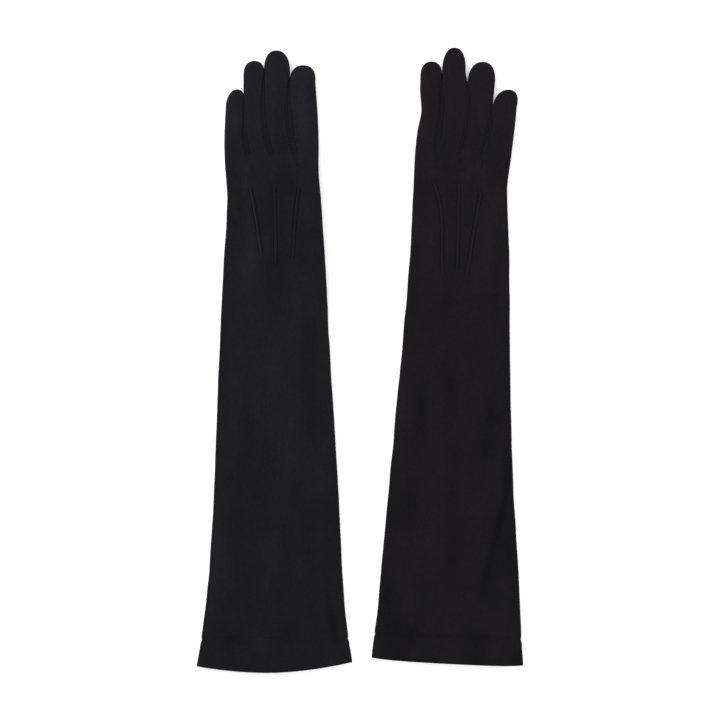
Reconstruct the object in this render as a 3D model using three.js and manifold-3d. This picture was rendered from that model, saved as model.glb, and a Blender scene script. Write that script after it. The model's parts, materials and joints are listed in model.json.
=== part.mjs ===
// A pair of full-length opera gloves in soft suede, lying flat, empty, with their backs up.
// Millimetres, +Z up, fingers along +Y. The left glove lies on the -X side.
//
// Each glove is drawn in its own flat coordinates: u runs across it, from the little-finger side
// to the index-finger side, and v runs along it, from the hem to the fingertips.
// The skins are puffed a few millimetres apart, so that an arm, a hand and fingers can go in.
// Leather bends anywhere, but these solids don't, so the one skin that makes the palm, the back,
// the fingers and the sleeve is divided at the elbow, the wrist and the knuckles.
import * as THREE from 'three';
import { mergeVertices } from 'three/addons/utils/BufferGeometryUtils.js';
import Module from 'manifold-3d';

const wasm = await Module();
wasm.setup();

// ---- driving dimensions -------------------------------------------------------------------

const LEATHER = 0.7; // one skin
const GAP = 0.4; // clearance between neighbouring pieces
const SLIT_GAP = 0.8; // half the space between two neighbouring fingers

const ELBOW = 150; // v of the three bends
const WRIST = 360;
const KNUCKLE = 488;

const HEM_DEPTH = 26; // how far the arm edge is turned in
const HEM_OPENING = 11; // height of the tube at the hem
const SLEEVE_HEIGHT = 8.4; // height of the tube along the sleeve
const HAND_HEIGHT = 9; // height of the tube at the hand
const FINGER_HEIGHT = 7.8;

const THUMB = {
  pivot: [25, 412], // u, v of the swivel, at the middle of its root
  lean: 4, // degrees towards the little finger
  root: -12, // start and tip, along the thumb from the pivot
  tip: 64,
  halfRoot: 12.5,
  halfTip: 9.5,
  height: 6.2,
  cap: 15, // length of its rounded tip
  hole: [8, 13], // half width and half length of the hole in the palm
};
const PALM_RAISE = THUMB.height + 1.5 * GAP; // how high the palm lies over the thumb

// One outline number list holds [v, u] pairs, from the hem to the fingers.
// A finger's tip is [v where it starts to round, tip u, tip v].
// A point is the raised tuck on the back: [u, v] at the knuckles, then [u, v] at its lower end.
const GLOVES = [
  {
    side: 'left',
    mirrored: false,
    place: [-82.1, -291.5],
    turn: 0,
    littleEdge: [[0, -74.5], [22, -70.6], [60, -65.3], [156, -58.6], [310, -52.4], [444, -45.1],
      [496, -47.9], [538, -46.5]],
    indexEdge: [[0, 74.5], [22, 71.3], [60, 66.7], [156, 61.6], [310, 52.4], [444, 44.5],
      [480, 42.7], [523, 41.6], [558, 39]],
    slits: [
      [[474, -21], [490, -26], [508, -28.7], [550, -29.6]],
      [[485, -1.5], [505, -8], [521, -11.1], [547, -11.6], [566, -9.8]],
      [[479, 22.3], [494, 18.2], [518, 14.3], [534, 13.1], [566, 14.9]],
    ],
    tips: [[536, -36.8, 551], [563, -20.2, 577.6], [566, 1.6, 587.8], [556, 27, 574.1]],
    hem: { littleCorner: 1, indexCorner: 1, drop: 8.2 },
    points: [[-22.7, 457, -12, 391], [0.3, 459, 1.5, 379.5], [23.9, 458, 16.7, 384.5]],
  },
  {
    side: 'right',
    mirrored: true,
    place: [83.8, -289.3],
    turn: -1.6,
    littleEdge: [[0, -72.9], [60, -67.8], [156, -59.4], [310, -51.4], [444, -45.3],
      [487, -47.6], [518, -50.6], [538, -51.8]],
    indexEdge: [[0, 72.9], [60, 67.4], [156, 61.2], [310, 51.2], [444, 45.3], [484, 44.6],
      [508, 42.7], [527, 39.8], [562, 41.4]],
    slits: [
      [[475, -18.8], [486, -19.2], [502, -22.9], [521, -27.1], [562, -30.6]],
      [[479, 1.1], [489, 0.5], [503, -3.8], [524, -5.9], [549, -4.9], [566, -1.6]],
      [[478, 24.1], [493, 25.3], [509, 22.6], [544, 21.1], [566, 20.7]],
    ],
    tips: [[536, -42.6, 550.3], [560, -17.5, 576.5], [566, 10.3, 588], [560, 31, 575]],
    hem: { littleCorner: -1.8, indexCorner: 1.8, drop: 3.2 },
    points: [[-18.9, 448, -7.7, 365.5], [2, 458.4, 0.5, 372.6], [26, 459.3, 13.8, 366]],
  },
];

const FINGERS = ['little', 'ring', 'middle', 'index'];

const SUEDE = { color: 0x1e1d20, roughness: 0.95, metalness: 0 };
const SUEDE_STRIP = { color: 0x222124, roughness: 0.95, metalness: 0 };

// ---- small helpers ------------------------------------------------------------------------

const mix = (a, b, t) => a + (b - a) * t;
const radians = THREE.MathUtils.degToRad;

// 0 below a, 1 above b and a smooth step between them.
function step(a, b, x) {
  return THREE.MathUtils.smoothstep(x, a, b);
}

// The value at v on a smooth line through [v, value] pairs.
function along(pairs, v) {
  const last = pairs.length - 1;
  const clamped = THREE.MathUtils.clamp(v, pairs[0][0], pairs[last][0]);
  let k = 0;
  while (k < last - 1 && clamped > pairs[k + 1][0]) k += 1;
  const slope = (i) => {
    const before = pairs[Math.max(i - 1, 0)];
    const after = pairs[Math.min(i + 1, last)];
    return (after[1] - before[1]) / (after[0] - before[0]);
  };
  const span = pairs[k + 1][0] - pairs[k][0];
  const t = (clamped - pairs[k][0]) / span;
  const ease = t * t * (3 - 2 * t);
  const leave = slope(k) * span * t * (1 - t) * (1 - t);
  const arrive = slope(k + 1) * span * t * t * (1 - t);
  return mix(pairs[k][1], pairs[k + 1][1], ease) + leave - arrive;
}

// Rounds off a height or a width towards a closed end: 1 at the start of the cap, 0 at its end.
function capShare(start, end, v) {
  const t = THREE.MathUtils.clamp((v - start) / (end - start), 0, 1);
  return (1 - t ** 2.3) ** (1 / 2.3);
}

// ---- cross-sections -----------------------------------------------------------------------

const RING_SIDES = 16;
const ROUNDNESS = 2.4; // exponent of the oval: 2 is an ellipse, more is squarer
const BOTTOM_FLATNESS = 1.45; // spreads the underside out flat

// The unit oval at one corner: x from -1 to 1, z from -1 (underside) to 1 (top).
function ovalPoint(k) {
  const angle = (2 * Math.PI * k) / RING_SIDES;
  const power = 2 / ROUNDNESS;
  const x = Math.sign(Math.cos(angle)) * Math.abs(Math.cos(angle)) ** power;
  const height = Math.abs(Math.sin(angle)) ** power;
  const z = Math.sin(angle) < 0 ? -Math.min(1, height * BOTTOM_FLATNESS) : height;
  return [x, z];
}

// A section is { v, middle, half, height, rest, floor }. floor(u, v) is how high the glove lies
// there, rest is the height of its middle above that, and shift(u), when given, moves a corner
// along v.
function ring(section, inset) {
  const points = [];
  for (let k = 0; k < RING_SIDES; k += 1) {
    const [x, z] = ovalPoint(k);
    const u = section.middle + x * (section.half - inset);
    const v = section.v + (section.shift ? section.shift(u) : 0);
    const centre = section.floor(u, v) + section.rest;
    points.push(new THREE.Vector3(u, v, centre + z * (section.height / 2 - inset)));
  }
  return points;
}

// ---- solids from sections -----------------------------------------------------------------

function geometryFrom(vertices, triangles) {
  const geometry = new THREE.BufferGeometry();
  geometry.setFromPoints(vertices);
  geometry.setIndex(triangles);
  return geometry;
}

// A tube with walls: its outer rings, its inner rings, and either rims or closed tips.
function shell(outer, inner, tip) {
  const vertices = [...outer.flat(), ...inner.flat()];
  const triangles = [];
  const innerStart = outer.length * RING_SIDES;
  const quad = (a, b, c, d) => triangles.push(a, b, c, a, c, d);
  const wall = (count, start, outward) => {
    for (let row = 0; row < count - 1; row += 1) {
      for (let k = 0; k < RING_SIDES; k += 1) {
        const a = start + row * RING_SIDES + k;
        const b = start + row * RING_SIDES + ((k + 1) % RING_SIDES);
        if (outward) quad(a, a + RING_SIDES, b + RING_SIDES, b);
        else quad(a, b, b + RING_SIDES, a + RING_SIDES);
      }
    }
  };
  wall(outer.length, 0, true);
  wall(inner.length, innerStart, false);
  for (let k = 0; k < RING_SIDES; k += 1) {
    const next = (k + 1) % RING_SIDES;
    quad(k, next, innerStart + next, innerStart + k);
  }
  const outerEnd = (outer.length - 1) * RING_SIDES;
  const innerEnd = innerStart + (inner.length - 1) * RING_SIDES;
  const apex = vertices.length;
  if (tip) vertices.push(tip.outer, tip.inner);
  for (let k = 0; k < RING_SIDES; k += 1) {
    const next = (k + 1) % RING_SIDES;
    if (tip) {
      triangles.push(outerEnd + k, apex, outerEnd + next);
      triangles.push(innerEnd + k, innerEnd + next, apex + 1);
    } else {
      quad(outerEnd + k, innerEnd + k, innerEnd + next, outerEnd + next);
    }
  }
  return geometryFrom(vertices, triangles);
}

// A solid bar through four-cornered sections, each listed so that the bar's start faces -V.
function bar(sections) {
  const triangles = [];
  const quad = (a, b, c, d) => triangles.push(a, b, c, a, c, d);
  for (let row = 0; row < sections.length - 1; row += 1) {
    for (let k = 0; k < 4; k += 1) {
      const a = row * 4 + k;
      const b = row * 4 + ((k + 1) % 4);
      quad(a, a + 4, b + 4, b);
    }
  }
  const end = (sections.length - 1) * 4;
  quad(0, 1, 2, 3);
  quad(end + 3, end + 2, end + 1, end);
  return geometryFrom(sections.flat(), triangles);
}

// A box-like section at v: u from left to right, z from low to high.
function barSection(left, right, low, high, v) {
  return [
    new THREE.Vector3(left, v, low),
    new THREE.Vector3(right, v, low),
    new THREE.Vector3(right, v, high),
    new THREE.Vector3(left, v, high),
  ];
}

// An upright prism over a flat outline.
function prism(shape, low, high) {
  const options = { depth: high - low, bevelEnabled: false, curveSegments: 10 };
  const geometry = new THREE.ExtrudeGeometry(shape, options);
  geometry.translate(0, 0, low);
  return geometry;
}

// ---- joins and cuts -----------------------------------------------------------------------

function toManifold(source) {
  const bare = source.clone();
  bare.deleteAttribute('normal');
  bare.deleteAttribute('uv');
  const merged = mergeVertices(bare, 1e-4);
  return new wasm.Manifold(new wasm.Mesh({
    numProp: 3,
    vertProperties: new Float32Array(merged.attributes.position.array),
    triVerts: new Uint32Array(merged.index.array),
  }));
}

function fromManifold(solid) {
  const mesh = solid.getMesh();
  const geometry = new THREE.BufferGeometry();
  geometry.setAttribute('position', new THREE.BufferAttribute(new Float32Array(mesh.vertProperties), 3));
  geometry.setIndex(new THREE.BufferAttribute(new Uint32Array(mesh.triVerts), 1));
  return geometry;
}

function cut(body, tools) {
  let solid = toManifold(body);
  for (const tool of tools) solid = solid.subtract(toManifold(tool));
  return fromManifold(solid);
}

function overlap(body, tool) {
  return fromManifold(toManifold(body).intersect(toManifold(tool)));
}

// ---- how the glove lies -------------------------------------------------------------------

// The thumb is folded under the palm, so the palm lies on it. It comes down to the table
// towards the little finger, the fingertips and the elbow.
function floorHeight(u, v) {
  const across = step(-38, -8, u);
  const lengthwise = step(290, 392, v) * (1 - step(470, 492, v));
  return PALM_RAISE * across * lengthwise;
}

function tubeHeight(v) {
  const sleeve = mix(HEM_OPENING, SLEEVE_HEIGHT, step(0, 60, v));
  const hand = mix(sleeve, HAND_HEIGHT, step(290, 392, v));
  return mix(hand, FINGER_HEIGHT, step(470, KNUCKLE, v));
}

// The height of the back of the glove's skin at a place on it, above the tube's middle line.
function backHeight(glove, u, v) {
  const left = along(glove.littleEdge, v);
  const right = along(glove.indexEdge, v);
  const share = Math.min(1, Math.abs((2 * u - left - right) / (right - left)));
  const dome = (1 - share ** ROUNDNESS) ** (1 / ROUNDNESS);
  return floorHeight(u, v) + (tubeHeight(v) * (1 + dome)) / 2;
}

// ---- sleeve, forearm and hand -------------------------------------------------------------

// The hem is cut in a shallow bow, deepest at its middle.
function hemLine(glove, u) {
  const { littleCorner, indexCorner, drop } = glove.hem;
  const share = THREE.MathUtils.clamp(u / along(glove.indexEdge, 0), -1, 1);
  return mix(littleCorner, indexCorner, (share + 1) / 2) - drop * (1 - share ** 4);
}

function armSection(glove, v) {
  const left = along(glove.littleEdge, v);
  const right = along(glove.indexEdge, v);
  const height = tubeHeight(v);
  const nearHem = 1 - step(0, 1.5 * HEM_DEPTH, v);
  return {
    v,
    middle: (left + right) / 2,
    half: (right - left) / 2,
    height,
    rest: height / 2,
    floor: floorHeight,
    shift: (u) => nearHem * hemLine(glove, u),
  };
}

// A walled tube through stations along v. inset is how far its outer wall lies within the glove's
// surface.
function armTube(glove, stations, inset) {
  const outer = stations.map((v) => ring(armSection(glove, v), inset));
  const inner = stations.map((v) => ring(armSection(glove, v), inset + LEATHER));
  return shell(outer, inner, null);
}

function upperSleeve(glove) {
  return armTube(glove, [0, 13, HEM_DEPTH, 60, 105, ELBOW - GAP / 2], 0);
}

// The turned-in hem: a second layer inside the arm opening.
function hemFacing(glove) {
  return armTube(glove, [1, 13, HEM_DEPTH], LEATHER + GAP);
}

function forearm(glove) {
  return armTube(glove, [ELBOW + GAP / 2, 200, 260, 310, 335, WRIST - GAP / 2], 0);
}

function handShell(glove) {
  return armTube(glove, [WRIST + GAP / 2, 380, 400, 435, 470, 477, 483, KNUCKLE - GAP / 2], 0);
}

// The hole in the palm that the thumb is sewn into, as an oval.
function thumbHole() {
  const shape = new THREE.Shape();
  shape.absellipse(...THUMB.pivot, ...THUMB.hole, 0, 2 * Math.PI);
  return prism(shape, PALM_RAISE - 2, PALM_RAISE + 2);
}

// The small three-cornered gusset in the palm, at the thumb's crotch.
function thumbGussetOutline(grow) {
  const [u, v] = THUMB.pivot;
  const shape = new THREE.Shape();
  shape.moveTo(u + 2 - grow, v + 15 - grow);
  shape.lineTo(u + 14 + 2 * grow, v + 15 - grow);
  shape.lineTo(u + 2 - grow, v + 33 + 2 * grow);
  shape.closePath();
  return prism(shape, PALM_RAISE - 2, PALM_RAISE + 2);
}

// A quirk: the little web that closes the crotch between two fingers, bent like a saddle.
function quirk(glove, slit) {
  const u = along(glove.slits[slit], KNUCKLE);
  const v = KNUCKLE - 3;
  const ends = [u - 3, u + 3];
  const low = Math.max(...ends.map((x) => floorHeight(x, v))) + LEATHER + 2 * GAP;
  const high = Math.min(...ends.map((x) => backHeight(glove, x, v))) - LEATHER - 2 * GAP;
  const shape = new THREE.Shape();
  shape.moveTo(ends[0], v + 2);
  shape.quadraticCurveTo(u, v - 4, ends[1], v + 2);
  shape.lineTo(u + 2.2, v + 2);
  shape.quadraticCurveTo(u, v - 2.4, u - 2.2, v + 2);
  shape.closePath();
  return prism(shape, low, high);
}

// A point: the raised, stitched tuck that runs down the back of the hand, thinning to its end.
function point(glove, [topU, topV, endU, endV]) {
  const STEPS = 7;
  const sections = [];
  for (let k = 0; k <= STEPS; k += 1) {
    const t = k / STEPS;
    const u = mix(endU, topU, t);
    const v = mix(endV, topV, t);
    const half = mix(0.5, 0.9, t);
    const low = backHeight(glove, u, v) + GAP;
    sections.push(barSection(u - half, u + half, low, low + mix(0.5, 0.9, t), v));
  }
  return bar(sections);
}

// ---- fingers ------------------------------------------------------------------------------

function fingerEdges(glove, finger, v) {
  const last = FINGERS.length - 1;
  const left = finger === 0 ? along(glove.littleEdge, v) : along(glove.slits[finger - 1], v) + SLIT_GAP;
  const right = finger === last ? along(glove.indexEdge, v) : along(glove.slits[finger], v) - SLIT_GAP;
  return [left, right];
}

// A finger's section at v. Past the start of its tip, it narrows and closes as an oval.
function fingerSection(glove, finger, v) {
  const [start, tipU, tipV] = glove.tips[finger];
  const [left, right] = fingerEdges(glove, finger, Math.min(v, start));
  const share = capShare(start, tipV, v);
  const past = THREE.MathUtils.clamp((v - start) / (tipV - start), 0, 1);
  return {
    v,
    middle: mix((left + right) / 2, tipU, past),
    half: ((right - left) / 2) * share,
    height: FINGER_HEIGHT * Math.sqrt(share),
    rest: FINGER_HEIGHT / 2,
    floor: floorHeight,
  };
}

function fingerShell(glove, finger) {
  const [start, tipU, tipV] = glove.tips[finger];
  const length = tipV - start;
  const straight = [0, 0.2, 0.45, 0.7, 1].map((t) => mix(KNUCKLE + GAP / 2, start, t));
  const rounded = [0.45, 0.72, 0.9].map((t) => start + t * length);
  const innerRounded = [0.42, 0.66, 0.82].map((t) => start + t * length);
  const outer = [...straight, ...rounded].map((v) => ring(fingerSection(glove, finger, v), 0));
  const inner = [...straight, ...innerRounded].map((v) => ring(fingerSection(glove, finger, v), LEATHER));
  const middle = FINGER_HEIGHT / 2;
  return shell(outer, inner, {
    outer: new THREE.Vector3(tipU, tipV, middle),
    inner: new THREE.Vector3(tipU, tipV - 2.5 * LEATHER, middle),
  });
}

// The long side strip of a finger, as the region it fills: it tapers to a point before the tip.
// side is -1 for the side towards the little finger and 1 for the side towards the index.
function stripRegion(glove, finger, side, grow) {
  const start = glove.tips[finger][0];
  const from = KNUCKLE - 1;
  const to = start + 4 + grow;
  const sections = [0, 0.15, 0.35, 0.55, 0.75, 0.9, 1].map((t) => {
    const v = mix(from, to, t);
    const [left, right] = fingerEdges(glove, finger, v);
    const edge = side < 0 ? left : right;
    const halfHeight = FINGER_HEIGHT * mix(0.3, 0.1, t ** 3) + grow;
    const middle = floorHeight(edge, v) + FINGER_HEIGHT / 2;
    const inward = edge - side * (3 + grow);
    const outward = edge + side * 6;
    const [near, far] = side < 0 ? [outward, inward] : [inward, outward];
    return barSection(near, far, middle - halfHeight, middle + halfHeight, v);
  });
  return bar(sections);
}

// ---- thumb --------------------------------------------------------------------------------

function thumbSection(distance) {
  const start = THUMB.tip - THUMB.cap;
  const share = capShare(start, THUMB.tip, distance);
  const half = mix(THUMB.halfRoot, THUMB.halfTip, step(0, start, distance));
  return {
    v: distance,
    middle: 0,
    half: half * share,
    height: THUMB.height * Math.sqrt(share),
    rest: THUMB.height / 2,
    floor: () => 0,
  };
}

// The thumb lies along +Y from its pivot at the origin; thumbMesh turns and places it.
function thumbShell() {
  const start = THUMB.tip - THUMB.cap;
  const straight = [0, 0.33, 0.67, 1].map((t) => mix(THUMB.root, start, t));
  const rounded = [7, 11, 13.8].map((d) => start + d);
  const innerRounded = [6.4, 10, 12.4].map((d) => start + d);
  const outer = [...straight, ...rounded].map((d) => ring(thumbSection(d), 0));
  const inner = [...straight, ...innerRounded].map((d) => ring(thumbSection(d), LEATHER));
  return shell(outer, inner, {
    outer: new THREE.Vector3(0, THUMB.tip, THUMB.height / 2),
    inner: new THREE.Vector3(0, THUMB.tip - 1.6, THUMB.height / 2),
  });
}

// ---- one glove ----------------------------------------------------------------------------

// The other hand is the same drawing turned over: u is negated and each triangle reversed.
function mirrorAcross(geometry) {
  const flipped = geometry.clone();
  if (!flipped.index) flipped.setIndex([...Array(flipped.attributes.position.count).keys()]);
  flipped.scale(-1, 1, 1);
  const index = flipped.index.array;
  for (let k = 0; k < index.length; k += 3) {
    const swap = index[k + 1];
    index[k + 1] = index[k + 2];
    index[k + 2] = swap;
  }
  return flipped;
}

function makeGlove(glove) {
  const group = new THREE.Group();
  group.position.set(glove.place[0], glove.place[1], 0);
  group.rotation.z = radians(glove.turn);
  const hand = glove.mirrored ? -1 : 1;

  const add = (name, geometry, look) => {
    const solid = glove.mirrored ? mirrorAcross(geometry) : geometry;
    const mesh = new THREE.Mesh(solid, new THREE.MeshStandardMaterial(look));
    mesh.name = `${glove.side}_${name}`;
    group.add(mesh);
    return mesh;
  };

  add('upper_sleeve', upperSleeve(glove), SUEDE);
  add('hem_facing', hemFacing(glove), SUEDE_STRIP);
  add('forearm', forearm(glove), SUEDE);

  const palm = cut(handShell(glove), [thumbHole(), thumbGussetOutline(GAP)]);
  add('hand', palm, SUEDE);
  add('thumb_gusset', overlap(handShell(glove), thumbGussetOutline(0)), SUEDE_STRIP);
  for (let slit = 0; slit < glove.slits.length; slit += 1) {
    add(`${FINGERS[slit]}_${FINGERS[slit + 1]}_quirk`, quirk(glove, slit), SUEDE_STRIP);
    add(`${FINGERS[slit + 1]}_point`, point(glove, glove.points[slit]), SUEDE);
  }

  FINGERS.forEach((name, finger) => {
    const sides = [-1, 1].filter((side) => FINGERS[finger + side]);
    const whole = fingerShell(glove, finger);
    add(`${name}_finger`, cut(whole, sides.map((side) => stripRegion(glove, finger, side, GAP))), SUEDE);
    for (const side of sides) {
      const strip = overlap(whole, stripRegion(glove, finger, side, 0));
      add(`${name}_fourchette_by_${FINGERS[finger + side]}`, strip, SUEDE_STRIP);
    }
  });

  const thumb = add('thumb', thumbShell(), SUEDE);
  thumb.position.set(hand * THUMB.pivot[0], THUMB.pivot[1], 0);
  thumb.rotation.z = hand * radians(THUMB.lean);
  return group;
}

const pair = new THREE.Group();
for (const glove of GLOVES) pair.add(makeGlove(glove));

export default pair;
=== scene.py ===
"""A pair of full-length opera gloves in black suede, lying flat with their backs up.

Each glove is drawn in its own flat coordinates, in millimetres: u runs across it, from the
little-finger side to the index-finger side, v runs along it, from the hem to the fingertips, and
z is the height above the table. place() puts a drawn point where the frame's joints say.
"""

import json
import math
from collections import namedtuple

import bmesh
import bpy
import numpy as np
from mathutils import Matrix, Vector


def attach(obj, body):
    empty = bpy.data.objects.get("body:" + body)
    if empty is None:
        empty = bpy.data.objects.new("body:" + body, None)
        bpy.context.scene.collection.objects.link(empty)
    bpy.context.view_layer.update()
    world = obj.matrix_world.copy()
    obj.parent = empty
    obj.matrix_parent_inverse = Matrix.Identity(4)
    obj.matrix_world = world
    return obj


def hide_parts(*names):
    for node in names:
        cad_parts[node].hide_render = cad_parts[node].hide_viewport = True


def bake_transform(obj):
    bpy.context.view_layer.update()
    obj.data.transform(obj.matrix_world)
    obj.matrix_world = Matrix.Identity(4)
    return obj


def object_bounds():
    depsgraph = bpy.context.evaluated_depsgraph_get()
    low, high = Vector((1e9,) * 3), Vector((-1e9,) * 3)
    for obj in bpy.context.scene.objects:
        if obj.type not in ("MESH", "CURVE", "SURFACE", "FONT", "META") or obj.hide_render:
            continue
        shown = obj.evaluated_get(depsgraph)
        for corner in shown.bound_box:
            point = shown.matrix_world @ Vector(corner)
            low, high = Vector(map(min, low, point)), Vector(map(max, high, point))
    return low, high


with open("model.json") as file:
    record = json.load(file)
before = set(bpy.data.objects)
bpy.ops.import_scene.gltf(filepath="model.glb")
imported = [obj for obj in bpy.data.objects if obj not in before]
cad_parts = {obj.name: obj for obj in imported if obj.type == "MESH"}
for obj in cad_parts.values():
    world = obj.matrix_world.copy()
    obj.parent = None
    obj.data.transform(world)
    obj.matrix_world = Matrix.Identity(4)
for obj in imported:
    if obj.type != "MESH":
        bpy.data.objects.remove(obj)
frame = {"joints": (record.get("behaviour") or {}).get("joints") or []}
cad_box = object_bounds()

MM = 0.001
SIDES = ("left", "right")
FINGERS = ("little", "ring", "middle", "index")

# ---- the drawing, in millimetres ------------------------------------------------------------

LEATHER = 0.6  # one skin
ELBOW = 150.0  # v of the three bends, as in the frame
WRIST = 360.0
KNUCKLE = 488.0
ELBOW_CREASE = 46.0  # how far past each bend blend_at is told to reach; it bends nothing
WRIST_CREASE = 34.0
KNUCKLE_CREASE = 17.0
SLEEVE_END = 348.0  # where the sleeve's mesh meets the hand's
HAND_END = 486.0  # where the hand's mesh meets the fingers'

HEM_DEPTH = 26.0
HEM_HALF = 74.0  # half width of the hem
HEM_OPENING = 8.8
SLEEVE_HEIGHT = 8.0
HAND_HEIGHT = 8.6
FINGER_HEIGHT = 7.6
THUMB_HEIGHT = 6.2
SLEEVE_FOLD = 2.3  # how high the fold along a side of the sleeve lies
PALM_RAISE = 6.8  # how high the palm lies over the tucked thumb
PALM_RISES = (290.0, 392.0)  # v over which the palm rises onto the thumb
PALM_FALLS = (456.0, 502.0)  # v over which it comes down again
SLIT_GAP = -0.1  # half the space between two neighbouring fingers, which press together

THUMB_PIVOT = (25.0, 412.0)
THUMB_TIP = 64.0
THUMB_LEAN = math.radians(4.0)
THUMB_ROOT = 12.6  # half width at its root

TOP_POWER = 2.3  # exponent of the crown: 2 is an ellipse, more is squarer
HAND_ROUND = 2.4  # the same for the way the columns spread across the hand
FINGER_ROUND = 2.6  # the same for a finger's width
CROTCH = 480.0  # v of the knuckle line on a finger's side that has no slit
HEM_BOW_REACH = 40.0  # how far up the sleeve the bow of the cut edge is felt
HEM_FOLD = 0.75  # radius of the fold at the hem

STITCH_PITCH = 2.4
POINT_HALF = 1.75  # from a point's crest to each of its two sewn lines
POINT_CREST = 0.5  # how far a point's crest stands up, and how deep its sewn lines are pressed
POINT_PRESS = 0.75
SEAM_PRESS = 0.55  # how deep the seams along the fingers are pressed
OUTSEAM_INSET = 1.5  # how far inside the little-finger edge the long seam lies

FINGER_COLUMNS = 26  # mesh columns across the top of one finger
SIDE_COLUMNS = 6  # columns from a finger's middle height to its fourchette seam
SEAM_ANGLE = math.radians(47)  # how far round a finger's side its fourchette reaches
ARM_COLUMNS = 2 * FINGER_COLUMNS * len(FINGERS)  # columns round the hand and the sleeve
SHARP_ANGLE = math.radians(55)  # edges that turn more than this are shaded as edges

# A raised tuck on the back, called a point: u, v at the knuckles, u, v at its lower end, and how
# far its line bows aside between them.
Tuck = namedtuple("Tuck", "top_u top_v end_u end_v bow")

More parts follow.
